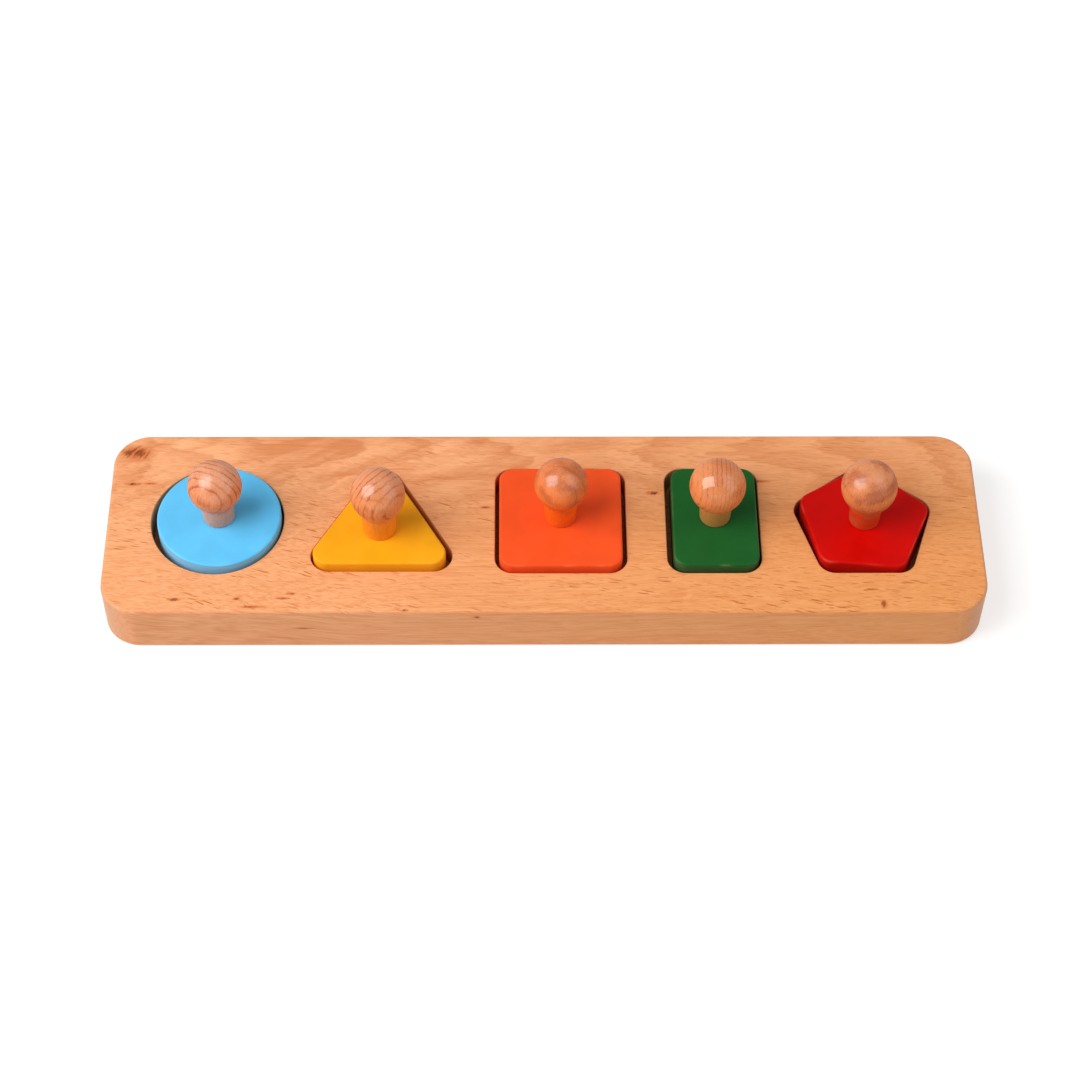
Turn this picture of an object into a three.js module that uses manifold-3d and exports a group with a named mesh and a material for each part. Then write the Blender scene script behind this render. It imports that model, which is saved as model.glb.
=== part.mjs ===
// Shape puzzle: a beech board with a row of five pockets, and in each pocket a painted tile that is
// lifted out by its turned knob. Millimetres, +Z up: X runs along the board, Y away from the viewer,
// and the origin is the centre of the board's underside.

import * as THREE from 'three';
import { mergeVertices } from 'three/addons/utils/BufferGeometryUtils.js';
import Module from 'manifold-3d';

const wasm = await Module();
wasm.setup();

// Tiles. The sides of the triangle and the pentagon are measured as if their corners were sharp.
const TILE_THICKNESS = 12;
const TILE_EDGE_RADIUS = 0.8;
const DISC_DIAMETER = 42.5;
const TRIANGLE_SIDE = 52.5;
const TRIANGLE_CORNER_RADIUS = 5;
const SQUARE_SIDE = 42;
const SQUARE_CORNER_RADIUS = 4.7;
const RECTANGLE_WIDTH = 29.1;
const RECTANGLE_LENGTH = 42;
const RECTANGLE_CORNER_RADIUS = 4.7;
const PENTAGON_SIDE = 28;
const PENTAGON_CORNER_RADIUS = 4.5;

// Board. It is as long and as wide as its pockets, the ribs between them and the margins around them.
const POCKET_CLEARANCE = 1.5;
const POCKET_DEPTH = 9.7;
const FLOOR_THICKNESS = 10.5;
const LEFT_MARGIN = 15.2;
const DISC_TRIANGLE_RIB = 9.8;
const TRIANGLE_SQUARE_RIB = 14.5;
const SQUARE_RECTANGLE_RIB = 13.7;
const RECTANGLE_PENTAGON_RIB = 12.3;
const RIGHT_MARGIN = 17;
const FRONT_MARGIN = 15.8;
const BACK_MARGIN = 14.8;
const BOARD_CORNER_RADIUS = 12.6;
const BOARD_EDGE_RADIUS = 1.2;

// Knobs. A ball sits on a stem that narrows to its foot, and a tenon under the foot is glued into the
// tile. They are turned by hand and differ a little: ball is the ball's diameter, rise the height of
// its centre above the tile, neck and foot the stem's diameters under the ball and on the tile, and
// fillet the radius that rounds the neck.
const DISC_KNOB = { ball: 18.4, rise: 16.4, neck: 11.2, foot: 10.9, fillet: 2.5 };
const TRIANGLE_KNOB = { ball: 18.5, rise: 18.5, neck: 12.2, foot: 11.4, fillet: 6 };
const SQUARE_KNOB = { ball: 18.2, rise: 17.7, neck: 11.6, foot: 10.7, fillet: 4 };
const RECTANGLE_KNOB = { ball: 19.1, rise: 16.7, neck: 11.3, foot: 10.6, fillet: 2 };
const PENTAGON_KNOB = { ball: 19, rise: 17.8, neck: 11.3, foot: 10.4, fillet: 2 };
const FOOT_EDGE_RADIUS = 0.6;
const TENON_DIAMETER = 6;
const WOOD_UNDER_TENON = 4;
const GLUE_GAP = 0.3;

// Where a loose tile lies in its pocket, in shares of the clearance: moved along X and Y, and turned
// until its corners have used up their share.
const DISC_REST = { x: 0.43, y: 0.1, turn: 0 };
const TRIANGLE_REST = { x: -0.5, y: 0, turn: 0 };
const SQUARE_REST = { x: -0.05, y: -0.08, turn: 0 };
const RECTANGLE_REST = { x: 0.43, y: 0, turn: 0 };
const PENTAGON_REST = { x: 0.06, y: 0.25, turn: 0.6 };

// Facets: how far a chord may stray from its arc, the sides of what is turned on the lathe and the
// steps of a rounded edge. A cutter reaches past the face that it cuts by the margin.
const CHORD_ERROR = 0.05;
const LATHE_SIDES = 24;
const EDGE_STEPS = 2;
const CUT_MARGIN = 5;

const POCKET_TOP = FLOOR_THICKNESS + POCKET_DEPTH;
const TENON_LENGTH = TILE_THICKNESS - WOOD_UNDER_TENON - GLUE_GAP;

// Points of an arc, both ends included, with chords as long as the error allows.
function arc(x, y, radius, from, to) {
  const step = 2 * Math.acos(1 - CHORD_ERROR / radius);
  const count = Math.max(2, Math.ceil(Math.abs(to - from) / step));
  return Array.from({ length: count + 1 }, (_, i) => {
    const angle = from + (to - from) * i / count;
    return new THREE.Vector2(x + radius * Math.cos(angle), y + radius * Math.sin(angle));
  });
}

// The outline at a distance from a core polygon, which runs counterclockwise through the centres of
// the corners. A tile and its pocket share one core, so the clearance is the same all round.
function outlineAround(core, radius) {
  if (core.length === 1) return arc(core[0].x, core[0].y, radius, 0, 2 * Math.PI).slice(0, -1);
  return core.flatMap((corner, i) => {
    const before = core[(i + core.length - 1) % core.length];
    const after = core[(i + 1) % core.length];
    const from = corner.clone().sub(before).angle() - Math.PI / 2;
    const turn = after.clone().sub(corner).angle() - Math.PI / 2 - from;
    const to = from + THREE.MathUtils.euclideanModulo(turn, 2 * Math.PI);
    return arc(corner.x, corner.y, radius, from, to);
  });
}

// Core of a regular figure that stands on a flat side, from its sharp side and its corner radius.
function regularCore(corners, side, cornerRadius) {
  const half = Math.PI / corners;
  const inradius = side / (2 * Math.tan(half));
  const reach = (inradius - cornerRadius) / Math.cos(half);
  return Array.from({ length: corners }, (_, i) => {
    const angle = -Math.PI / 2 + half + 2 * half * i;
    return new THREE.Vector2(reach * Math.cos(angle), reach * Math.sin(angle));
  });
}

function rectangleCore(width, length, cornerRadius) {
  const x = width / 2 - cornerRadius;
  const y = length / 2 - cornerRadius;
  return [[x, -y], [x, y], [-x, y], [-x, -y]].map(([px, py]) => new THREE.Vector2(px, py));
}

// An outline made a slab, with its top and bottom edges rounded where a radius is given.
function slab(outline, height, edgeRadius = 0) {
  const slabGeometry = new THREE.ExtrudeGeometry(new THREE.Shape(outline), {
    depth: height - 2 * edgeRadius,
    bevelEnabled: edgeRadius > 0,
    bevelThickness: edgeRadius,
    bevelSize: edgeRadius,
    bevelOffset: -edgeRadius,
    bevelSegments: EDGE_STEPS,
  });
  return slabGeometry.translate(0, 0, edgeRadius);
}

// A closed geometry as a solid that can be cut, and a cut solid as a geometry again.
function solidOf(geometry) {
  const bare = new THREE.BufferGeometry();
  bare.setIndex(geometry.index);
  bare.setAttribute('position', geometry.attributes.position);
  const merged = mergeVertices(bare);
  const triVerts = Uint32Array.from(merged.index.array);
  const vertProperties = merged.attributes.position.array;
  return new wasm.Manifold(new wasm.Mesh({ numProp: 3, vertProperties, triVerts }));
}

function geometryOf(solid) {
  const { vertProperties, triVerts } = solid.getMesh();
  const geometry = new THREE.BufferGeometry();
  geometry.setAttribute('position', new THREE.BufferAttribute(vertProperties, 3));
  geometry.setIndex(new THREE.BufferAttribute(triVerts, 1));
  geometry.computeVertexNormals();
  return geometry;
}

// Profile of a knob from the tenon's end to the top of the ball, with the tile's face at height 0.
// A fillet that touches both the stem's side and the ball rounds the neck.
function knobProfile({ ball, rise, neck, foot, fillet }) {
  const ballRadius = ball / 2;
  const neckHeight = rise - Math.sqrt(ballRadius ** 2 - (neck / 2) ** 2);
  const stemStart = new THREE.Vector2(foot / 2, FOOT_EDGE_RADIUS);
  const along = new THREE.Vector2(neck / 2, neckHeight).sub(stemStart).normalize();
  const outward = new THREE.Vector2(along.y, -along.x);
  const centre = new THREE.Vector2(0, rise);

  const toStem = stemStart.clone().addScaledVector(outward, fillet).sub(centre);
  const b = toStem.dot(along);
  const c = toStem.lengthSq() - (ballRadius + fillet) ** 2;
  const stemLength = -b - Math.sqrt(b * b - c);
  const filletCentre = toStem.addScaledVector(along, stemLength).add(centre);
  const filletFrom = outward.clone().negate().angle();
  const filletTo = centre.clone().sub(filletCentre).angle();
  const ballFrom = filletTo - Math.PI;

  const tenonRadius = TENON_DIAMETER / 2;
  return [
    new THREE.Vector2(0, -TENON_LENGTH),
    new THREE.Vector2(tenonRadius, -TENON_LENGTH),
    new THREE.Vector2(tenonRadius, 0),
    ...arc(foot / 2 - FOOT_EDGE_RADIUS, FOOT_EDGE_RADIUS, FOOT_EDGE_RADIUS, -Math.PI / 2, 0),
    ...arc(filletCentre.x, filletCentre.y, fillet, filletFrom, filletTo),
    ...arc(0, rise, ballRadius, ballFrom, Math.PI / 2).slice(1, -1),
    new THREE.Vector2(0, rise + ballRadius),
  ];
}

const paint = (color) => new THREE.MeshStandardMaterial({ color, roughness: 0.35, metalness: 0 });
const beech = (color, roughness) => new THREE.MeshStandardMaterial({ color, roughness, metalness: 0 });
const varnishedBeech = () => beech(0xd78a5c, 0.3);
const waxedBeech = () => beech(0xf2ab76, 0.55);

// The five pieces from left to right: outline, gap to the pocket on the left, knob, rest and colour.
const pieces = [
  {
    name: 'disc', core: [new THREE.Vector2()], cornerRadius: DISC_DIAMETER / 2,
    gap: LEFT_MARGIN, knob: DISC_KNOB, rest: DISC_REST, color: 0x6acafa,
  },
  {
    name: 'triangle', core: regularCore(3, TRIANGLE_SIDE, TRIANGLE_CORNER_RADIUS),
    cornerRadius: TRIANGLE_CORNER_RADIUS,
    gap: DISC_TRIANGLE_RIB, knob: TRIANGLE_KNOB, rest: TRIANGLE_REST, color: 0xffb53c,
  },
  {
    name: 'square', core: rectangleCore(SQUARE_SIDE, SQUARE_SIDE, SQUARE_CORNER_RADIUS),
    cornerRadius: SQUARE_CORNER_RADIUS,
    gap: TRIANGLE_SQUARE_RIB, knob: SQUARE_KNOB, rest: SQUARE_REST, color: 0xfe6539,
  },
  {
    name: 'rectangle', core: rectangleCore(RECTANGLE_WIDTH, RECTANGLE_LENGTH, RECTANGLE_CORNER_RADIUS),
    cornerRadius: RECTANGLE_CORNER_RADIUS,
    gap: SQUARE_RECTANGLE_RIB, knob: RECTANGLE_KNOB, rest: RECTANGLE_REST, color: 0x21622a,
  },
  {
    name: 'pentagon', core: regularCore(5, PENTAGON_SIDE, PENTAGON_CORNER_RADIUS),
    cornerRadius: PENTAGON_CORNER_RADIUS,
    gap: RECTANGLE_PENTAGON_RIB, knob: PENTAGON_KNOB, rest: PENTAGON_REST, color: 0xd41000,
  },
];

// The pockets lie side by side from the left margin on, each with its middle on one line along X.
let reach = 0;
for (const piece of pieces) {
  piece.pocket = outlineAround(piece.core, piece.cornerRadius + POCKET_CLEARANCE);
  piece.box = new THREE.Box2().setFromPoints(piece.pocket);
  piece.fromLeft = reach + piece.gap - piece.box.min.x;
  reach = piece.fromLeft + piece.box.max.x;
}
const boardLength = reach + RIGHT_MARGIN;
const rowWidth = Math.max(...pieces.map((piece) => piece.box.max.y - piece.box.min.y));
const boardWidth = FRONT_MARGIN + rowWidth + BACK_MARGIN;
const rowY = (FRONT_MARGIN - BACK_MARGIN) / 2;
for (const piece of pieces) {
  const middle = piece.box.getCenter(new THREE.Vector2());
  piece.place = new THREE.Vector2(piece.fromLeft - boardLength / 2, rowY - middle.y);
}

const shapePuzzle = new THREE.Group();

// Board: a plank with round corners and edges, and a pocket routed for each tile.
const boardCore = rectangleCore(boardLength, boardWidth, BOARD_CORNER_RADIUS);
let board = solidOf(slab(outlineAround(boardCore, BOARD_CORNER_RADIUS), POCKET_TOP, BOARD_EDGE_RADIUS));
for (const piece of pieces) {
  const cutter = slab(piece.pocket, POCKET_DEPTH + CUT_MARGIN);
  cutter.translate(piece.place.x, piece.place.y, FLOOR_THICKNESS);
  board = board.subtract(solidOf(cutter));
}
const boardMesh = new THREE.Mesh(geometryOf(board), waxedBeech());
boardMesh.name = 'board';
shapePuzzle.add(boardMesh);

// How far a tile has turned, clockwise from above, once its corners have used a share of the clearance.
function restTurn({ core, cornerRadius, rest }) {
  if (rest.turn === 0) return 0;
  const half = Math.PI / core.length;
  const toCorner = core[0].length();
  return Math.acos(Math.cos(half) + rest.turn * POCKET_CLEARANCE / toCorner) - half;
}

// Each tile lies on its pocket's floor, and its knob stands on it over the middle of the figure.
const holeRadius = TENON_DIAMETER / 2 + GLUE_GAP;
const holeDepth = TENON_LENGTH + GLUE_GAP + CUT_MARGIN;
const tenonHole = new THREE.CylinderGeometry(holeRadius, holeRadius, holeDepth, LATHE_SIDES);
tenonHole.rotateX(Math.PI / 2);
tenonHole.translate(0, 0, WOOD_UNDER_TENON + holeDepth / 2);

for (const piece of pieces) {
  const turn = restTurn(piece);
  const core = piece.core.map((corner) => corner.clone().rotateAround(new THREE.Vector2(), turn));
  const blank = slab(outlineAround(core, piece.cornerRadius), TILE_THICKNESS, TILE_EDGE_RADIUS);
  const bored = solidOf(blank).subtract(solidOf(tenonHole));
  const tile = new THREE.Mesh(geometryOf(bored), paint(piece.color));
  tile.name = `${piece.name}_tile`;

  const turned = new THREE.LatheGeometry(knobProfile(piece.knob), LATHE_SIDES).rotateX(Math.PI / 2);
  const knob = new THREE.Mesh(turned, varnishedBeech());
  knob.name = `${piece.name}_knob`;
  knob.position.z = TILE_THICKNESS;

  const lifted = new THREE.Group();
  lifted.add(tile, knob);
  lifted.position.set(
    piece.place.x + piece.rest.x * POCKET_CLEARANCE,
    piece.place.y + piece.rest.y * POCKET_CLEARANCE,
    FLOOR_THICKNESS,
  );
  shapePuzzle.add(lifted);
}

export default shapePuzzle;
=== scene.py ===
from math import acos, atan2, cos, pi, radians, sin, sqrt, tan

import bmesh
import bpy
from mathutils import Matrix, Vector


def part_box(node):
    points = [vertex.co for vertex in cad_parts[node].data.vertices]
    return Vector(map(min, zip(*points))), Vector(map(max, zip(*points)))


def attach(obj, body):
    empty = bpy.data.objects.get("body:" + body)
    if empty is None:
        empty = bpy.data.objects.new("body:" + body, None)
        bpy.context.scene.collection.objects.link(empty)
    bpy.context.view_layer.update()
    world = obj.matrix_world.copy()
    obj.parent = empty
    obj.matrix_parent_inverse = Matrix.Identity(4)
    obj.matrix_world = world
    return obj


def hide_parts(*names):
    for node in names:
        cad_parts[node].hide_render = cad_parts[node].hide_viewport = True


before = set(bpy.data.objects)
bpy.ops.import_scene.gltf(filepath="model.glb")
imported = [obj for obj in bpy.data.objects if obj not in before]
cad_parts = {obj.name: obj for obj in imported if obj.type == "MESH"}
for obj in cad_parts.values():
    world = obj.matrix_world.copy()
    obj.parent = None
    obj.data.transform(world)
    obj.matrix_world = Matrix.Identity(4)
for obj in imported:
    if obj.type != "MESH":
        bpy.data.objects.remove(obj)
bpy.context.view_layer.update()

# Board: one plank of beech with round corners and edges, and a pocket routed into its top for each tile.
# The router leaves eased rims and fine cutter rings on the floors. The plank is sanded and oiled.
MM = 0.001
BOARD_CORNER = 12.6 * MM
BOARD_EDGE = 1.2 * MM
POCKET_CLEARANCE = 1.5 * MM
POCKET_RIM = 0.4 * MM
POCKET_FLOOR_FILLET = 0.3 * MM
CUTTER_STEP = 2.4 * MM
CUTTER_RIDGE = 0.06 * MM
CUTTER_LIP = 0.2
CORNER_STEPS = 14
ROUND_STEPS = 120
EDGE_STEPS = 5


def oblong(width, length, corner):
    """Centres of the corner arcs of a rectangle, counterclockwise."""
    x = width / 2 - corner
    y = length / 2 - corner
    return [Vector(at) for at in ((x, -y), (x, y), (-x, y), (-x, -y))]


def regular(corners, side, corner):
    """Centres of the corner arcs of a regular figure on a flat side, from its sharp side's length."""
    half = pi / corners
    reach = (side / (2 * tan(half)) - corner) / cos(half)
    angles = [half * (2 * i + 1) for i in range(corners)]
    return [Vector((reach * sin(a), -reach * cos(a))) for a in angles]


def loop_around(mesh, centres, radius, height):
    """A closed loop of edges at a radius round a figure's corner centres, each corner a spun arc."""
    first = len(mesh.verts)
    for i, centre in enumerate(centres):
        came = centre - centres[i - 1]
        goes = centres[(i + 1) % len(centres)] - centre
        start, turn, steps = atan2(-came.x, came.y), came.angle_signed(goes, 0), CORNER_STEPS
        if len(centres) == 1:
            start, turn, steps = 0, -2 * pi * (1 - 1 / ROUND_STEPS), ROUND_STEPS - 1
        begin = mesh.verts.new((centre.x + radius * cos(start), centre.y + radius * sin(start), height))
        bmesh.ops.spin(
            mesh, geom=[begin], cent=(*centre, height), axis=(0, 0, 1), angle=-turn, steps=steps
        )
    mesh.verts.ensure_lookup_table()
    loop = mesh.verts[first:]
    return [mesh.edges.get(pair) or mesh.edges.new(pair) for pair in zip(loop, loop[1:] + loop[:1])]


def add_cup(mesh, centres, stations, sharp_rim=False):
    """Adds a cup: bridged loops at (radius, height) stations, open at the first, closed at the last."""
    cup = bmesh.new()
    loops = [loop_around(cup, centres, radius, height) for radius, height in stations]
    for here, there in zip(loops, loops[1:]):
        bmesh.ops.bridge_loops(cup, edges=here + there)
    bmesh.ops.contextual_create(cup, geom=loops[-1])
    for edge in loops[0]:
        edge.smooth = not sharp_rim
    shell = bpy.data.meshes.new("cup")
    cup.to_mesh(shell)
    cup.free()
    mesh.from_mesh(shell)
    bpy.data.meshes.remove(shell)


def close_top(mesh):
    """Fills the flat face between the open rims of a mesh's cups, and turns all its faces outwards."""
    rims = [edge for edge in mesh.edges if edge.is_boundary]
    bmesh.ops.triangle_fill(mesh, edges=rims, use_beauty=True, normal=(0, 0, 1))
    bmesh.ops.recalc_face_normals(mesh, faces=mesh.faces)


def quarter(radius, height, bend, start, turn=pi / 2):
    """Stations of a quarter round of a bend about a centre."""
    angles = [start + turn * i / EDGE_STEPS for i in range(EDGE_STEPS + 1)]
    return [(radius + bend * cos(a), height + bend * sin(a)) for a in angles]


def eased_slab(corner, edge, low, high):
    """Stations of a slab with round edges, from its top face down to its underside."""
    top = quarter(corner - edge, high - edge, edge, pi / 2, -pi / 2)
    return top + quarter(corner - edge, low + edge, edge, 0, -pi / 2)


# The figures, shared by the tiles and their pockets: the corners' centres and radius, and where the
# loose tile lies in its pocket, as shares of the clearance along X and Y and in turning.
DISC_RADIUS = 21.25 * MM
FIGURES = {
    "disc": ([Vector((0, 0))], DISC_RADIUS, (0.43, 0.1), 0),
    "triangle": (regular(3, 52.5 * MM, 5 * MM), 5 * MM, (-0.5, 0), 0),
    "square": (oblong(42 * MM, 42 * MM, 4.7 * MM), 4.7 * MM, (-0.05, -0.08), 0),
    "rectangle": (oblong(29.1 * MM, 42 * MM, 4.7 * MM), 4.7 * MM, (0.43, 0), 0),
    "pentagon": (regular(5, 28 * MM, 4.5 * MM), 4.5 * MM, (0.06, 0.25), 0.6),
}


def figure_middle(name):
    """The middle of a tile, which its knob stands on."""
    low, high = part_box(name + "_knob")
    return ((low + high) / 2).xy


board_low, board_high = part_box("board")
pocket_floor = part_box("disc_tile")[0].z
plank = bmesh.new()
plank_centres = oblong(board_high.x - board_low.x, board_high.y - board_low.y, BOARD_CORNER)
add_cup(plank, plank_centres, eased_slab(BOARD_CORNER, BOARD_EDGE, board_low.z, board_high.z))
for name, (centres, corner, rest, turn_share) in FIGURES.items():
    middle = figure_middle(name) - Vector(rest) * POCKET_CLEARANCE
    wall = corner + POCKET_CLEARANCE
    stations = quarter(wall + POCKET_RIM, board_high.z - POCKET_RIM, POCKET_RIM, pi / 2)
    stations += quarter(
        wall - POCKET_FLOOR_FILLET, pocket_floor + POCKET_FLOOR_FILLET, POCKET_FLOOR_FILLET, 0, -pi / 2
    )
    for ring in range(1, int(wall / CUTTER_STEP)):
        stations.append((wall - (ring - CUTTER_LIP) * CUTTER_STEP, pocket_floor - CUTTER_RIDGE))
        stations.append((wall - ring * CUTTER_STEP, pocket_floor))
    add_cup(plank, [middle + centre for centre in centres], stations)
close_top(plank)


def node(tree, kind, inputs, **settings):
    """A shader node with its settings, its inputs set or linked."""
    made = tree.nodes.new("ShaderNode" + kind)
    for name, value in settings.items():
        setattr(made, name, value)
    for socket, value in inputs.items():
        if isinstance(value, bpy.types.NodeSocket):
            tree.links.new(value, made.inputs[socket])
        else:
            made.inputs[socket].default_value = value
    return made


def maths(tree, operation, a, b=0.0, clamp=False):
    return node(tree, "Math", {0: a, 1: b}, operation=operation, use_clamp=clamp).outputs[0]


def moved(tree, operation, a, b):
    return node(tree, "VectorMath", {0: a, 1: b}, operation=operation).outputs[0]


def distance(tree, vector):
    return node(tree, "VectorMath", {0: vector}, operation="LENGTH").outputs["Value"]


def stretched(tree, vector, *lengths):
    """A pattern's coordinates, with one unit as long as given along each axis."""
    return moved(tree, "MULTIPLY", vector, [1 / length for length in lengths])


def noise(tree, vector, detail=2.0, output="Fac"):
    return node(tree, "TexNoise", {"Vector": vector, "Scale": 1.0, "Detail": detail}).outputs[output]


def ramp(tree, value, start, end, low=0.0, high=1.0):
    """A value eased from low to high as the input goes from start to end."""
    inputs = {"Value": value, "From Min": start, "From Max": end, "To Min": low, "To Max": high}
    return node(tree, "MapRange", inputs, interpolation_type="SMOOTHSTEP").outputs[0]


def mixed(tree, factor, a, b):
    return node(tree, "Mix", {0: factor, 6: a, 7: b}, data_type="RGBA").outputs[2]


def effect(name, inputs, outputs):
    """An empty node group for an effect that several materials share, and its ends."""
    group = bpy.data.node_groups.new(name, "ShaderNodeTree")
    for in_out, sockets in (("INPUT", inputs), ("OUTPUT", outputs)):
        for socket, kind in sockets.items():
            group.interface.new_socket(socket, in_out=in_out, socket_type="NodeSocket" + kind)
    return group, group.nodes.new("NodeGroupInput").outputs, group.nodes.new("NodeGroupOutput").inputs


# Beech, as masks in millimetres with the grain along X: growth rings about the heart of the log at the
# origin, the short dark flecks of its rays, fine fibres, long streaks and broad clouds of colour.
# Each pattern has its length along the grain and its two widths across it.
WAVER_LENGTHS = (100, 34, 34)
RIPPLE_LENGTHS = (22, 6, 6)
FIBRE_LENGTHS = (13, 0.42, 0.42)
STREAK_LENGTHS = (34, 1.5, 1.5)
RING_DRIFT_LENGTHS = (70, 8, 8)
WOBBLE_LENGTHS = (3.0, 0.9, 0.9)
CLOUD_LENGTHS = (42, 12, 12)
NOISE_MIDDLE = (0.5, 0.5, 0.5)
# Most of a noise lies in the first of these spans of its values, and its core in the second.
NOISE_SPAN = (0.3, 0.7)
NOISE_CORE = (0.35, 0.65)
STREAK_SPAN = (0.5, 0.78)
RING_STREAK = 0.35
LATE_WOOD_STARTS = 0.15
LATE_WOOD_ENDS = 0.94
# Flecks come in two sorts, as length, width and darkness: a few long ones and many short faint ones.
FLECKS = ((6.5, 0.95, 1.0), (3.8, 0.62, 0.75))
FLECK_SLANT = 0.13
FLECK_TILT = 0.7
FLECK_STAGGER = 0.62
FLECK_REACH = 0.62
FLECK_WOBBLE = (1.6, 0.35, 0.35)
FLECK_SHARPNESS = 9.0
FAINTEST_FLECK = 0.25
beech, given, gives = effect(
    "beech",
    {
        "Vector": "Vector", "Ring Spacing": "Float", "Waver": "Float", "Ripple": "Float",
        "Fleck Cover": "Float",
    },
    {"Ring": "Float", "Fleck": "Float", "Fibre": "Float", "Streak": "Float", "Cloud": "Float"},
)
grain = given["Vector"]
for size, lengths in (("Waver", WAVER_LENGTHS), ("Ripple", RIPPLE_LENGTHS)):
    drift = noise(beech, stretched(beech, given["Vector"], *lengths), 1.0, "Color")
    drift = moved(beech, "SUBTRACT", drift, NOISE_MIDDLE)
    across = node(beech, "CombineXYZ", {"Y": given[size], "Z": given[size]}).outputs[0]
    grain = moved(beech, "ADD", grain, moved(beech, "MULTIPLY", drift, across))
fibre = noise(beech, stretched(beech, grain, *FIBRE_LENGTHS), 4.0)
streak = noise(beech, stretched(beech, grain, *STREAK_LENGTHS), 2.0)
ring_count = distance(beech, moved(beech, "MULTIPLY", grain, (0, 1, 1)))
ring_count = maths(beech, "DIVIDE", ring_count, given["Ring Spacing"])
ring_drift = noise(beech, stretched(beech, grain, *RING_DRIFT_LENGTHS))
ring_count = maths(beech, "ADD", ring_count, ring_drift)
ring_count = maths(beech, "ADD", ring_count, maths(beech, "MULTIPLY", streak, RING_STREAK))
in_ring = maths(beech, "FRACT", ring_count)
late_wood = ramp(beech, in_ring, LATE_WOOD_STARTS, LATE_WOOD_ENDS)
late_wood = maths(beech, "MULTIPLY", late_wood, ramp(beech, in_ring, 1.0, LATE_WOOD_ENDS))
beech.links.new(late_wood, gives["Ring"])
wobble = noise(beech, stretched(beech, grain, *WOBBLE_LENGTHS), 2.0, "Color")
wobble = moved(beech, "SUBTRACT", wobble, NOISE_MIDDLE)
wobble = moved(beech, "MULTIPLY", wobble, FLECK_WOBBLE)
where = node(beech, "SeparateXYZ", {0: moved(beech, "ADD", grain, wobble)}).outputs
flecks = 0.0
for length, width, darkness in FLECKS:
    row = maths(beech, "ADD", where["Y"], maths(beech, "MULTIPLY", where["Z"], FLECK_TILT))
    row = maths(beech, "ADD", row, maths(beech, "MULTIPLY", where["X"], FLECK_SLANT))
    row = maths(beech, "DIVIDE", row, width)
    column = maths(beech, "DIVIDE", where["X"], length)
    column = maths(beech, "ADD", column, maths(beech, "MULTIPLY", row, FLECK_STAGGER))
    cells = node(beech, "CombineXYZ", {"X": column, "Y": row}).outputs[0]
    fleck = node(beech, "TexVoronoi", {"Vector": cells, "Scale": 1.0}, voronoi_dimensions="2D")
    chance = node(beech, "SeparateColor", {"Color": fleck.outputs["Color"]}).outputs
    fleck_size = maths(beech, "ADD", chance["Red"], maths(beech, "SUBTRACT", given["Fleck Cover"], 1.0))
    fleck_size = maths(beech, "MULTIPLY", fleck_size, FLECK_REACH)
    depth = maths(beech, "SUBTRACT", fleck_size, fleck.outputs["Distance"])
    depth = maths(beech, "MULTIPLY", depth, FLECK_SHARPNESS, clamp=True)
    shade = ramp(beech, chance["Green"], 0.0, 1.0, FAINTEST_FLECK, darkness)
    depth = maths(beech, "MULTIPLY", depth, shade)
    flecks = maths(beech, "MAXIMUM", flecks, depth)
beech.links.new(flecks, gives["Fleck"])
beech.links.new(ramp(beech, fibre, *NOISE_SPAN), gives["Fibre"])
beech.links.new(ramp(beech, streak, *STREAK_SPAN), gives["Streak"])
cloud = noise(beech, stretched(beech, given["Vector"], *CLOUD_LENGTHS), 3.0)
beech.links.new(ramp(beech, cloud, *NOISE_SPAN), gives["Cloud"])


def material(name, specular):
    """A new material, its nodes and its shader."""
    made = bpy.data.materials.new(name)
    made.use_nodes = True
    shader = made.node_tree.nodes["Principled BSDF"]
    shader.inputs["Specular IOR Level"].default_value = specular
    return made, made.node_tree, shader


def millimetres(tree, turn=Matrix.Identity(3), origin=Vector()):
    """Object coordinates in millimetres, turned and moved so that a point, given in metres, is at 0."""
    place = {"Rotation": turn.to_euler(), "Location": turn @ -origin / MM, "Scale": (1 / MM,) * 3}
    place["Vector"] = node(tree, "TexCoord", {}).outputs["Object"]
    return node(tree, "Mapping", place).outputs[0]


def placed(tree, group, inputs):
    """A shared effect in a material, with its own values. Gives its outputs."""
    return node(tree, "Group", inputs, node_tree=group).outputs


OILED_LIGHT = (0.98, 0.465, 0.225, 1)
OILED_DEEP = (0.70, 0.25, 0.095, 1)
OILED_GOLD = (0.90, 0.33, 0.06, 1)
OILED_STREAK = (0.70, 0.20, 0.04, 1)
OILED_FLECK = (0.50, 0.105, 0.002, 1)
# The ends are darker, as oiled end grain and as painted shade.
END_GRAIN_AND_SHADE = (0.60, 0.30, 0.165, 1)
MARK_RED = (0.66, 0.16, 0.032, 1)
MARK_BROWN = (0.16, 0.028, 0.006, 1)
# Routed wood's brown, deepened as painted shade down in the pockets.
ROUTED_AND_SHADED_BROWN = (0.50, 0.14, 0.045, 1)
OIL_SPECULAR = 0.3
OIL_ROUGHNESS = (0.42, 0.58)
HEART_OF_LOG = Vector((0, 30, -62)) * MM
LOG_BOW = 0.00055
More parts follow.
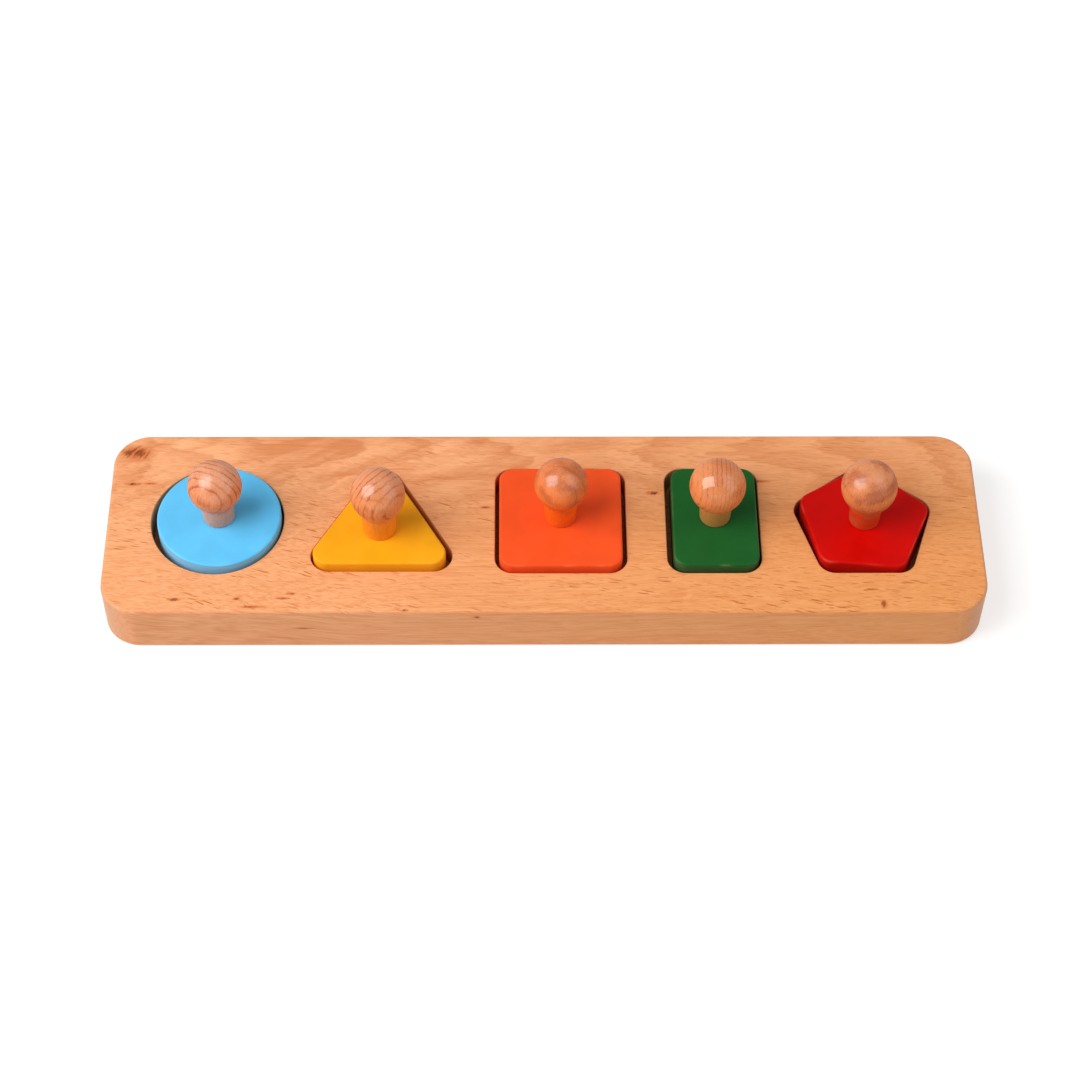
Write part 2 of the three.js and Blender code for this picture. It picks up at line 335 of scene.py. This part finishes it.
# Rings show more at the back of the board, fibres and flecks more at its front, gold more at its right.
FRONT_TO_BACK = (-12, 34)
LEFT_TO_RIGHT = (-150, 130)
PLAIN_DEPTH = 0.22
RING_DEPTH = (0.1, 0.46)
CLOUD_DEPTH = 0.16
FIBRE_DEPTH = 0.24
FIBRE_SHARE = (1, 0.6)
GOLD_DEPTH = (0.08, 0.5)
GOLD_SHARE = (1, 0.3)
STREAK_DEPTH = 0.35
FLECK_DEPTH = (0.85, 0.45)
CLOUD_SPAN = (0.2, 0.8)
FLECK_IN_CLOUD = (1.0, 0.5)
TOP_HEIGHTS = (18.6, 19.8)
FLECK_ON_SIDES = (0.2, 1.0)
FLECK_PIT = 1.5
# The ends darken, as oiled end grain and as painted shade, where the surface faces along X.
END_GRAIN_AND_SHADE_SLOPE = (0.2, 0.8)
END_GRAIN_AND_SHADE_DEPTH = 0.7
# Curly figure crosses the grain at the back left.
CURL_TURN = radians(-28)
CURL_LENGTHS = (26, 5, 26)
CURL_DEPTH = (-0.2, 0.22)
CURL_LEFTWARD = (40, -60)
CURL_BACKWARD = (2, 18)
# Routed wood is inside the edges of the board and below its top. It is rougher, and browner as routed wood
# and as painted shade that deepens down from the rims into the pockets.
POCKETS_WITHIN_X = (142, 140)
POCKETS_WITHIN_Y = (31, 29)
ROUTED_AND_SHADED_BELOW = (20, 16.5)
ROUTED_AND_SHADED_DEPTH = 0.75
POCKET_FLOOR_HEIGHTS = (10.7, 11.6)
POCKET_FLOOR_SHARE = (0.3, 1.0)
ROUTED_ROUGHNESS = 0.5
# Dark marks in the wood, as their places along X, Y and Z, length, width and depth. The first is a knot.
MARK_SLANT = radians(-55)
MARK_LENGTHS = (4, 0.9, 4)
MARK_RAGGED = (-0.25, 0.5)
MARK_REACH = (0.9, 0.1)
HALO_REACH = (1.3, 0.3)
HALO_DEPTH = 0.85
WOOD_MARKS = (
    (-142.0, 30.2, 20.2, 7.0, 3.8, 0.8),
    (-142.5, 16.4, 20.2, 3.2, 0.8, 1.0),
    (-136.5, 16.6, 20.2, 2.6, 0.6, 0.45),
    (37.7, 12.2, 20.2, 2.6, 1.1, 1.0),
    (75.5, 17.3, 20.2, 3.4, 0.8, 0.8),
    (114.0, -35.2, 20.2, 1.3, 2.0, 0.6),
    (-20.0, 6.0, 20.2, 2.0, 0.6, 0.6),
    (-46.8, -37.4, 20.2, 1.2, 0.5, 0.9),
    (-103.5, -32.6, 20.2, 1.5, 0.7, 0.7),
    (-124.7, -32.9, 20.2, 2.4, 0.8, 0.6),
    (-98.6, -35.9, 20.2, 5.0, 0.6, 0.4),
    (-88.0, -32.5, 20.2, 3.0, 0.55, 0.4),
    (-85.4, -30.5, 20.2, 2.0, 0.6, 0.5),
    (-23.0, -38.0, 17.0, 1.6, 0.7, 0.8),
    (-81.4, -38.0, 10.6, 4.5, 0.5, 0.35),
)
oiled_beech, tree, shader = material("oiled_beech", OIL_SPECULAR)
at = millimetres(tree)
where = node(tree, "SeparateXYZ", {0: at}).outputs
bow = maths(tree, "MULTIPLY", maths(tree, "POWER", maths(tree, "ABSOLUTE", where["X"]), 2.0), -LOG_BOW)
in_log = millimetres(tree, origin=HEART_OF_LOG)
in_log = moved(tree, "ADD", in_log, node(tree, "CombineXYZ", {"Z": bow}).outputs[0])
wood = placed(
    tree, beech,
    {"Vector": in_log, "Ring Spacing": 2.8, "Waver": 13.0, "Ripple": 1.6, "Fleck Cover": 0.6},
)
back = ramp(tree, where["Y"], *FRONT_TO_BACK)
inside = ramp(tree, maths(tree, "ABSOLUTE", where["Y"]), *POCKETS_WITHIN_Y)
inside_x = ramp(tree, maths(tree, "ABSOLUTE", where["X"]), *POCKETS_WITHIN_X)
inside = maths(tree, "MULTIPLY", inside, inside_x)
curl = millimetres(tree, Matrix.Rotation(CURL_TURN, 3, "Z"))
curl = noise(tree, stretched(tree, curl, *CURL_LENGTHS), 2.0)
curl = ramp(tree, curl, *NOISE_CORE, *CURL_DEPTH)
curl = maths(tree, "MULTIPLY", curl, ramp(tree, where["X"], *CURL_LEFTWARD))
curl = maths(tree, "MULTIPLY", curl, ramp(tree, where["Y"], *CURL_BACKWARD))
tone = maths(tree, "MULTIPLY", wood["Ring"], ramp(tree, back, 0, 1, *RING_DEPTH))
tone = maths(tree, "ADD", tone, maths(tree, "MULTIPLY", wood["Cloud"], CLOUD_DEPTH))
fibres = ramp(tree, wood["Fibre"], 0, 1, -FIBRE_DEPTH, FIBRE_DEPTH)
fibres = maths(tree, "MULTIPLY", fibres, ramp(tree, back, 0, 1, *FIBRE_SHARE))
tone = maths(tree, "ADD", tone, maths(tree, "ADD", fibres, PLAIN_DEPTH))
tone = maths(tree, "ADD", tone, curl, clamp=True)
colour = mixed(tree, tone, OILED_LIGHT, OILED_DEEP)
rightward = ramp(tree, where["X"], *LEFT_TO_RIGHT, *GOLD_DEPTH)
rightward = maths(tree, "MULTIPLY", rightward, ramp(tree, back, 0, 1, *GOLD_SHARE))
colour = mixed(tree, rightward, colour, OILED_GOLD)
colour = mixed(tree, maths(tree, "MULTIPLY", wood["Streak"], STREAK_DEPTH), colour, OILED_STREAK)
dark = maths(tree, "MULTIPLY", wood["Fleck"], ramp(tree, back, 0, 1, *FLECK_DEPTH))
dark = maths(tree, "MULTIPLY", dark, ramp(tree, wood["Cloud"], *CLOUD_SPAN, *FLECK_IN_CLOUD))
faces_up = ramp(tree, where["Z"], *TOP_HEIGHTS, *FLECK_ON_SIDES)
dark = maths(tree, "MULTIPLY", dark, maths(tree, "MAXIMUM", inside, faces_up))
colour = mixed(tree, dark, colour, OILED_FLECK)
halo = 0.0
mark = 0.0
slanting = millimetres(tree, Matrix.Rotation(MARK_SLANT, 3, "Z"))
slanting = noise(tree, stretched(tree, slanting, *MARK_LENGTHS), 2.0)
for x, y, z, long, wide, depth in WOOD_MARKS:
    apart = distance(tree, stretched(tree, moved(tree, "SUBTRACT", at, (x, y, z)), long, wide, wide))
    halo = maths(tree, "MAXIMUM", halo, ramp(tree, apart, *HALO_REACH, 0, HALO_DEPTH))
    apart = maths(tree, "ADD", apart, ramp(tree, slanting, *NOISE_CORE, *MARK_RAGGED))
    mark = maths(tree, "MAXIMUM", mark, ramp(tree, apart, *MARK_REACH, 0, depth))
colour = mixed(tree, halo, colour, MARK_RED)
colour = mixed(tree, mark, colour, MARK_BROWN)
# Painted shade and oiled end grain: the board darkens where its surface faces along X.
end = node(tree, "SeparateXYZ", {0: node(tree, "TexCoord", {}).outputs["Normal"]}).outputs["X"]
end = ramp(tree, maths(tree, "ABSOLUTE", end), *END_GRAIN_AND_SHADE_SLOPE, 0, END_GRAIN_AND_SHADE_DEPTH)
colour = mixed(tree, end, colour, END_GRAIN_AND_SHADE)
# Routed wood and painted shade: browner from the pocket rims downwards, less so on the floors.
routed_and_shaded = maths(tree, "MULTIPLY", inside, ramp(tree, where["Z"], *ROUTED_AND_SHADED_BELOW, 0, ROUTED_AND_SHADED_DEPTH))
on_wall = ramp(tree, where["Z"], *POCKET_FLOOR_HEIGHTS, *POCKET_FLOOR_SHARE)
routed_and_shaded = maths(tree, "MULTIPLY", routed_and_shaded, on_wall)
colour = mixed(tree, routed_and_shaded, colour, ROUTED_AND_SHADED_BROWN)
tree.links.new(colour, shader.inputs["Base Color"])
rough = ramp(tree, wood["Fibre"], 0, 1, *OIL_ROUGHNESS)
rough = maths(tree, "ADD", rough, maths(tree, "MULTIPLY", routed_and_shaded, ROUTED_ROUGHNESS))
tree.links.new(rough, shader.inputs["Roughness"])
relief = maths(tree, "SUBTRACT", wood["Fibre"], maths(tree, "MULTIPLY", wood["Fleck"], FLECK_PIT))
bump = node(tree, "Bump", {"Height": relief, "Strength": 0.1, "Distance": 0.05 * MM})
tree.links.new(bump.outputs[0], shader.inputs["Normal"])


def place(mesh, name, finish, body, cad_node, slot):
    """Makes a finished mesh the piece that stands for a CAD node and rides on its body."""
    data = bpy.data.meshes.new(name)
    mesh.to_mesh(data)
    mesh.free()
    data.shade_smooth()
    data.materials.append(finish)
    piece = bpy.data.objects.new(name, data)
    bpy.context.scene.collection.objects.link(piece)
    piece.modifiers.new("even_shading", "WEIGHTED_NORMAL").keep_sharp = True
    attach(piece, body)
    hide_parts(cad_node)


place(plank, "routed_board", oiled_beech, "board", "board", "board_beech")

# Tiles: five figures sawn from flat wood, their edges eased, dipped in satin paint and dried.
# Each has a blind hole in the middle of its top for the tenon of its knob.
TILE_EDGE = 0.8 * MM
TENON_RADIUS = 3 * MM
GLUE_GAP = 0.3 * MM
WOOD_UNDER_TENON = 4 * MM
PAINT_SPECULAR = 0.13
# Each paint's slot and colour, how much bare wood shows through its sides, and how much painted light
# lightens its sides in the pocket's shade (below zero, painted shade darkens them).
PAINTS = {
    "disc": ("blue_paint", (0.125, 0.56, 0.93, 1), 0.35, 0.3),
    "triangle": ("yellow_paint", (0.95, 0.40, 0.008, 1), 0.04, 0.22),
    "square": ("orange_paint", (0.96, 0.095, 0.017, 1), 0.02, 0.1),
    "rectangle": ("green_paint", (0.012, 0.115, 0.020, 1), 0.1, 0.0),
    "pentagon": ("red_paint", (0.66, 0.002, 0.0005, 1), 0.02, -0.12),
}
BARE_WOOD = (0.72, 0.46, 0.30, 1)
tile_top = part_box("disc_tile")[1].z

# Dipped paint over wood, in millimetres from the middle of the tile's top: faint mottle, the grain
# telegraphing through, paint that is worn at the top edge and thin on the sides, and painted light that
# lightens the sides, painted shade where its amount is below zero.
MOTTLE_LENGTHS = (11, 11, 11)
PAINTED_GRAIN_LENGTHS = (12, 0.7, 0.7)
SIDE_HEIGHTS = (-0.5, -1.4)
TOP_EDGE_HEIGHTS = (-0.05, -0.3)
WORN_SPAN = (0.45, 0.65)
WORN_SHARE = 0.12
THIN_IN_GRAIN = (0.5, 1.0)
MOTTLE_VALUE = (0.95, 1.05)
PAINT_ROUGHNESS = (0.34, 0.46)
dipped_paint, given, gives = effect(
    "dipped_paint",
    {"Vector": "Vector", "Paint": "Color", "Thin Sides": "Float", "Painted Side Light": "Float"},
    {"Color": "Color", "Roughness": "Float", "Relief": "Float"},
)
mottle = noise(dipped_paint, stretched(dipped_paint, given["Vector"], *MOTTLE_LENGTHS), 3.0)
grain_lines = stretched(dipped_paint, given["Vector"], *PAINTED_GRAIN_LENGTHS)
grain_lines = noise(dipped_paint, grain_lines, 3.0)
height = node(dipped_paint, "SeparateXYZ", {0: given["Vector"]}).outputs["Z"]
side = ramp(dipped_paint, height, *SIDE_HEIGHTS)
edge = maths(dipped_paint, "SUBTRACT", ramp(dipped_paint, height, *TOP_EDGE_HEIGHTS), side)
worn = ramp(dipped_paint, mottle, *WORN_SPAN, 0.0, WORN_SHARE)
worn = maths(dipped_paint, "MULTIPLY", edge, worn)
thin = ramp(dipped_paint, grain_lines, *NOISE_SPAN, *THIN_IN_GRAIN)
thin = maths(dipped_paint, "MULTIPLY", side, thin)
thin = maths(dipped_paint, "MULTIPLY", thin, given["Thin Sides"])
# Painted light on the sides: a set amount lightens them, and below zero it darkens them as painted shade.
value = maths(dipped_paint, "MULTIPLY", side, given["Painted Side Light"])
value = maths(dipped_paint, "ADD", value, ramp(dipped_paint, mottle, *NOISE_SPAN, *MOTTLE_VALUE))
deep = node(dipped_paint, "HueSaturation", {"Value": value, "Color": given["Paint"]}).outputs[0]
coat = mixed(dipped_paint, maths(dipped_paint, "ADD", worn, thin), deep, BARE_WOOD)
dipped_paint.links.new(coat, gives["Color"])
dipped_paint.links.new(ramp(dipped_paint, mottle, *NOISE_SPAN, *PAINT_ROUGHNESS), gives["Roughness"])
dipped_paint.links.new(maths(dipped_paint, "ADD", grain_lines, mottle), gives["Relief"])

for name, (centres, corner, rest, turn_share) in FIGURES.items():
    low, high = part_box(name + "_tile")
    middle = figure_middle(name)
    turn = 0
    if turn_share:
        half = pi / len(centres)
        turn = acos(cos(half) + turn_share * POCKET_CLEARANCE / centres[0].length) - half
    turned = [middle + Matrix.Rotation(turn, 2) @ centre for centre in centres]
    tile = bmesh.new()
    add_cup(tile, turned, eased_slab(corner, TILE_EDGE, low.z, high.z))
    hole = TENON_RADIUS + GLUE_GAP
    add_cup(tile, [middle], [(hole, high.z), (hole, low.z + WOOD_UNDER_TENON)], sharp_rim=True)
    close_top(tile)
    slot, paint_colour, thin_sides, painted_side_light = PAINTS[name]
    paint, tree, shader = material(slot, PAINT_SPECULAR)
    at = millimetres(tree, origin=Vector((*middle, tile_top)))
    dip = placed(
        tree, dipped_paint,
        {"Vector": at, "Paint": paint_colour, "Thin Sides": thin_sides, "Painted Side Light": painted_side_light},
    )
    tree.links.new(dip["Color"], shader.inputs["Base Color"])
    tree.links.new(dip["Roughness"], shader.inputs["Roughness"])
    bump = node(tree, "Bump", {"Height": dip["Relief"], "Strength": 0.05, "Distance": 0.1 * MM})
    tree.links.new(bump.outputs[0], shader.inputs["Normal"])
    place(tile, name + "_tile_painted", paint, name + "_piece", name + "_tile", slot)

# Knobs: turned from beech on a lathe, a ball on a short stem, with a tenon under the stem's foot that is
# glued into the tile. Each comes from another stick, so its rings face another way. Clear gloss varnish.
FOOT_EDGE = 0.6 * MM
TENON_EDGE = 0.4 * MM
LATHE_STEPS = 80
BALL_STEPS = 28
STICK_LEAN = Vector((0.14, 0.1, 1)).normalized()
STICK_SPACING = 70 * MM
# Each ball's wood is palest at the back of its top.
PALE_SLOPE = 1.3
PALE_HEIGHTS = (12, 27)
VARNISH_PALE = (0.80, 0.36, 0.205, 1)
VARNISH_LIGHT = (0.83, 0.275, 0.09, 1)
VARNISH_DEEP = (0.50, 0.12, 0.042, 1)
VARNISH_FLECK = (0.36, 0.08, 0.022, 1)
VARNISH_IOR = 1.62
VARNISH_AT_RIM = 0.09
FACING_RIM = (0.1, 0.3)
WOOD_SPECULAR = 0.05
WOOD_ROUGHNESS = (0.36, 0.5)
# How much of the stem's painted light, a painted reflection of the tile's colour, it takes, and below what
# height in full.
STEM_PAINTED_LIGHT = 0.96
PAINTED_LIGHT_FULL_BELOW = 5.5
BLOTCH_LENGTHS = (7, 7, 4)
BLOTCH_SPAN = (0.35, 0.7)
FIBRE_TONES = (-0.12, 0.22)
# Only the darkest part of a ring shows as a line, and blotches break it up.
RING_LINE = (0.62, 1.0)
RING_BREAKS = (0.3, 0.65)
RING_IN_BREAK = 0.3
# Rings, blotches and flecks are fainter on the stem than on the ball. Heights are above the tile.
RING_HEIGHTS = (6, 15)
RING_ON_STEM = 0.06
STEM_TO_BALL = (5, 13)
GRAIN_ON_STEM = 0.65
FLECK_ON_STEM = 0.1
FLECK_ON_BALL = 0.3
# Above the middle of the ball, the coat of varnish grows to its full weight between these heights.
FULL_COAT_ABOVE = (3, 7)
# For each knob: diameters of the neck and the foot, and the fillet between stem and ball; the stem's
# colour, painted reflection of its tile's paint (on the rectangle's, painted shade as well), the height to
# which it climbs, and how pale the wood is at the front and at the top; the way that the rings face, how
# far off the heart of the log was, and the space between rings; the strength of the rings and the
# blotches; and the varnish, as how blurred it is and how much of it is left low on the ball.
KNOBS = {
    "disc": {
        "neck": 11.2, "foot": 10.9, "fillet": 2.5,
        "stem": (0.64, 0.385, 0.30, 1), "painted_light_reach": 15, "pale": (0.4, 1.0),
        "heading": -112, "heart": 19, "spacing": 2.0,
        "rings": 0.75, "blotch": 0.3, "gloss": 0.24, "low_coat": 1.0,
    },
    "triangle": {
        "neck": 12.2, "foot": 11.4, "fillet": 6,
        "stem": (0.93, 0.30, 0.012, 1), "painted_light_reach": 15, "pale": (0.0, 0.6),
        "heading": -42, "heart": 24, "spacing": 2.1,
        "rings": 0.8, "blotch": 0.25, "gloss": 0.2, "low_coat": 0.7,
    },
    "square": {
        "neck": 11.6, "foot": 10.7, "fillet": 4,
        "stem": (0.98, 0.14, 0.002, 1), "painted_light_reach": 34, "pale": (0.0, 0.2),
        "heading": 75, "heart": 42, "spacing": 5,
        "rings": 0.3, "blotch": 0.65, "gloss": 0.2, "low_coat": 0.2,
    },
    "rectangle": {
        "neck": 11.3, "foot": 10.6, "fillet": 2,
        "stem": (0.47, 0.25, 0.06, 1), "painted_light_reach": 12, "pale": (0.0, 0.25),
        "heading": 178, "heart": 60, "spacing": 1.5,
        "rings": 0.5, "blotch": 0.3, "gloss": 0.08, "low_coat": 0.45,
    },
    "pentagon": {
        "neck": 11.3, "foot": 10.4, "fillet": 2,
        "stem": (0.64, 0.035, 0.004, 1), "painted_light_reach": 22, "pale": (0.0, 0.45),
        "heading": -95, "heart": 42, "spacing": 4.5,
        "rings": 0.15, "blotch": 0.85, "gloss": 0.3, "low_coat": 0.4,
    },
}


def spun_arc(mesh, begin, centre, turn, steps):
    """Carries a profile on from a point by an arc about a centre, and gives its last point."""
    bmesh.ops.spin(
        mesh, geom=[begin], cent=(centre.x, 0, centre.y), axis=(0, 1, 0), angle=turn, steps=steps
    )
    mesh.verts.ensure_lookup_table()
    return mesh.verts[-1]


def straight(mesh, begin, radius, height):
    """Carries a profile on by a straight line to a radius and a height."""
    new = bmesh.ops.extrude_vert_indiv(mesh, verts=[begin])["verts"][0]
    new.co = (radius, 0, height)
    return new


def turned_round(mesh, steps):
    """Turns a profile about the upright axis and joins it up."""
    bmesh.ops.spin(
        mesh, geom=mesh.verts[:] + mesh.edges[:], cent=(0, 0, 0), axis=(0, 0, 1), angle=2 * pi,
        steps=steps, use_merge=True,
    )
    bmesh.ops.remove_doubles(mesh, verts=mesh.verts, dist=0.001 * MM)
    bmesh.ops.recalc_face_normals(mesh, faces=mesh.faces)


for stick, (name, sizes) in enumerate(KNOBS.items()):
    low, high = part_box(name + "_knob")
    ball = (high.x - low.x) / 2
    centre = Vector((0, high.z - ball))
    neck = sizes["neck"] / 2 * MM
    foot = sizes["foot"] / 2 * MM
    fillet = sizes["fillet"] * MM
    stem_foot = Vector((foot, tile_top + FOOT_EDGE))
    along = (Vector((neck, centre.y - sqrt(ball**2 - neck**2))) - stem_foot).normalized()
    outward = Vector((along.y, -along.x))
    to_stem = stem_foot + outward * fillet - centre
    reach = -to_stem.dot(along)
    reach -= sqrt(reach**2 - to_stem.length_squared + (ball + fillet) ** 2)
    bend = stem_foot + outward * fillet + along * reach
    to_bend = bend - centre
    knob = bmesh.new()
    point = knob.verts.new((0, 0, high.z))
    ball_turn = atan2(to_bend.x, to_bend.y)
    point = spun_arc(knob, point, centre, ball_turn, BALL_STEPS)
    fillet_turn = (-to_bend).angle_signed(-outward)
    point = spun_arc(knob, point, bend, fillet_turn, EDGE_STEPS)
    point = straight(knob, point, foot, tile_top + FOOT_EDGE)
    point = spun_arc(knob, point, Vector((foot - FOOT_EDGE, tile_top + FOOT_EDGE)), pi / 2, EDGE_STEPS)
    point = straight(knob, point, TENON_RADIUS, tile_top)
    point = straight(knob, point, TENON_RADIUS, low.z + TENON_EDGE)
    point = straight(knob, point, TENON_RADIUS - TENON_EDGE, low.z)
    straight(knob, point, 0, low.z)
    turned_round(knob, LATHE_STEPS)
    bmesh.ops.translate(knob, verts=knob.verts, vec=(*figure_middle(name), 0))

    varnish, tree, shader = material(name + "_knob_varnish", WOOD_SPECULAR)
    heading = radians(sizes["heading"])
    from_heart = Vector((cos(heading), sin(heading), 0))
    from_heart = (from_heart - STICK_LEAN * from_heart.dot(STICK_LEAN)).normalized()
    stick_axes = Matrix((STICK_LEAN, from_heart.cross(STICK_LEAN), from_heart))
    heart = Vector((*figure_middle(name), centre.y)) - from_heart * sizes["heart"] * MM
    heart -= STICK_LEAN * STICK_SPACING * stick
    in_stick = millimetres(tree, stick_axes, heart)
    wood = placed(
        tree, beech,
        {
            "Vector": in_stick, "Ring Spacing": sizes["spacing"], "Waver": 4.0, "Ripple": 0.45,
            "Fleck Cover": 0.4,
        },
    )
    at = millimetres(tree, origin=Vector((*figure_middle(name), tile_top)))
    where = node(tree, "SeparateXYZ", {0: at}).outputs
    height = where["Z"]
    upper = maths(tree, "ADD", height, maths(tree, "MULTIPLY", where["Y"], PALE_SLOPE))
    blotch = noise(tree, stretched(tree, millimetres(tree), *BLOTCH_LENGTHS), 3.0)
    tone = ramp(tree, wood["Ring"], *RING_LINE, 0, sizes["rings"])
    tone = maths(tree, "MULTIPLY", tone, ramp(tree, blotch, *RING_BREAKS, RING_IN_BREAK, 1.0))
    tone = maths(tree, "MULTIPLY", tone, ramp(tree, height, *RING_HEIGHTS, RING_ON_STEM, 1.0))
    tone = maths(tree, "ADD", tone, ramp(tree, wood["Fibre"], 0, 1, *FIBRE_TONES))
    blotch = ramp(tree, blotch, *BLOTCH_SPAN, 0.0, sizes["blotch"])
    tone = maths(tree, "ADD", tone, blotch, clamp=True)
    tone = maths(tree, "MULTIPLY", tone, ramp(tree, height, *STEM_TO_BALL, GRAIN_ON_STEM, 1.0))
    pale = ramp(tree, upper, *PALE_HEIGHTS, *sizes["pale"])
    colour = mixed(tree, pale, VARNISH_LIGHT, VARNISH_PALE)
    # Painted reflection of the tile's paint on the stem and up the ball (painted shade on the rectangle's
    # stem): full low down, gone above a height.
    painted_on_stem = ramp(tree, height, sizes["painted_light_reach"], PAINTED_LIGHT_FULL_BELOW, 0, STEM_PAINTED_LIGHT)
    colour = mixed(tree, painted_on_stem, colour, sizes["stem"])
    colour = mixed(tree, tone, colour, VARNISH_DEEP)
    flecks = ramp(tree, height, *STEM_TO_BALL, FLECK_ON_STEM, FLECK_ON_BALL)
    flecks = maths(tree, "MULTIPLY", wood["Fleck"], flecks)
    colour = mixed(tree, flecks, colour, VARNISH_FLECK)
    tree.links.new(colour, shader.inputs["Base Color"])
    tree.links.new(ramp(tree, wood["Fibre"], 0, 1, *WOOD_ROUGHNESS), shader.inputs["Roughness"])
    facing = node(tree, "LayerWeight", {"Blend": 0.5}).outputs["Facing"]
    coat = [(centre.y - tile_top) / MM + above for above in FULL_COAT_ABOVE]
    coat = ramp(tree, height, *coat, sizes["low_coat"], 1.0)
    coat = maths(tree, "MULTIPLY", ramp(tree, facing, *FACING_RIM, 1.0, VARNISH_AT_RIM), coat)
    tree.links.new(coat, shader.inputs["Coat Weight"])
    shader.inputs["Coat Roughness"].default_value = sizes["gloss"]
    shader.inputs["Coat IOR"].default_value = VARNISH_IOR
    place(knob, name + "_knob_turned", varnish, name + "_piece", name + "_knob", "knob_beech")

# Stage: a white paper sweep, a floor that curves up all round. It keeps the board's shadow, and further
# off it is plain white to the camera and in reflections.
SWEEP_RADIUS = 6.0
SWEEP_BEND = 0.8
SWEEP_HEIGHT = 1.5
SWEEP_STEPS = 48
FLOOR_DROP = 0.2 * MM
PAPER_GREY = (0.62, 0.62, 0.62, 1)
PAPER_LIFT = 0.55
PAPER_ROUGHNESS = 0.9
WHITE = (1, 1, 1, 1)
LIFT_DISTANCES = (0.3, 1.2)
ground = board_low.z - FLOOR_DROP
sweep = bmesh.new()
point = sweep.verts.new((0, 0, ground))
point = straight(sweep, point, SWEEP_RADIUS - SWEEP_BEND, ground)
bend = Vector((SWEEP_RADIUS - SWEEP_BEND, ground + SWEEP_BEND))
point = spun_arc(sweep, point, bend, -pi / 2, EDGE_STEPS)
straight(sweep, point, SWEEP_RADIUS, SWEEP_HEIGHT)
turned_round(sweep, SWEEP_STEPS)
sweep_data = bpy.data.meshes.new("paper_sweep")
sweep.to_mesh(sweep_data)
sweep.free()
sweep_data.shade_smooth()
paper_sweep = bpy.data.objects.new("paper_sweep", sweep_data)
bpy.context.scene.collection.objects.link(paper_sweep)
paper, tree, shader = material("white_paper", 0.0)
shader.inputs["Roughness"].default_value = PAPER_ROUGHNESS
shader.inputs["Base Color"].default_value = PAPER_GREY
shader.inputs["Emission Color"].default_value = WHITE
seen = node(tree, "LightPath", {}).outputs
directly = maths(tree, "MAXIMUM", seen["Is Camera Ray"], seen["Is Glossy Ray"])
directly = maths(tree, "MAXIMUM", directly, seen["Is Transmission Ray"])
far_off = distance(tree, node(tree, "TexCoord", {}).outputs["Object"])
lift = ramp(tree, far_off, *LIFT_DISTANCES, PAPER_LIFT, 1.0)
tree.links.new(maths(tree, "MULTIPLY", directly, lift), shader.inputs["Emission Strength"])
sweep_data.materials.append(paper)

# Light: a large soft box high on the left, a weaker one on the right, and the dim room overhead.
KEY_FROM = Vector((-0.66, -0.24, 0.72))
KEY_SIZE = (0.95, 0.75)
KEY_POWER = 9.9
FILL_FROM = Vector((0.8, -0.2, 0.56))
FILL_SIZE = (1.2, 1.0)
FILL_POWER = 3.3
LAMP_DISTANCE = 1.0
ROOM_LEVEL = 0.32
for name, from_side, size, power in (
    ("soft_box_left", KEY_FROM, KEY_SIZE, KEY_POWER),
    ("soft_box_right", FILL_FROM, FILL_SIZE, FILL_POWER),
):
    lamp = bpy.data.lights.new(name, "AREA")
    lamp.shape = "RECTANGLE"
    lamp.size, lamp.size_y = size
    lamp.energy = power
    box = bpy.data.objects.new(name, lamp)
    box.location = from_side.normalized() * LAMP_DISTANCE
    outwards = from_side.normalized()
    level = (Vector((1, 0, 0)) - outwards * outwards.x).normalized()
    box.rotation_euler = Matrix((level, outwards.cross(level), outwards)).transposed().to_euler()
    bpy.context.scene.collection.objects.link(box)
room = bpy.data.worlds.new("room")
bpy.context.scene.world = room
room.use_nodes = True
background = room.node_tree.nodes["Background"]
background.inputs["Color"].default_value = WHITE
background.inputs["Strength"].default_value = ROOM_LEVEL
bpy.context.scene.view_settings.view_transform = "Standard"

# Camera: in front of the board and above it, looking down on the row of knobs through a long lens.
CAMERA_PLACE = Vector((-10.5, -547.4, 739.8)) * MM
LOOK_DOWN = radians(53.146)
LOOK_RIGHT = radians(0.96)
CAMERA_ROLL = radians(0.701)
LENS = 87.715
SENSOR = 36
lens = bpy.data.cameras.new("camera")
lens.sensor_fit = "HORIZONTAL"
lens.sensor_width = SENSOR
lens.lens = LENS
camera = bpy.data.objects.new("camera", lens)
facing = Matrix.Rotation(-LOOK_RIGHT, 4, "Z") @ Matrix.Rotation(pi / 2 - LOOK_DOWN, 4, "X")
camera.matrix_world = Matrix.Translation(CAMERA_PLACE) @ facing @ Matrix.Rotation(CAMERA_ROLL, 4, "Z")
bpy.context.scene.collection.objects.link(camera)
bpy.context.scene.camera = camera
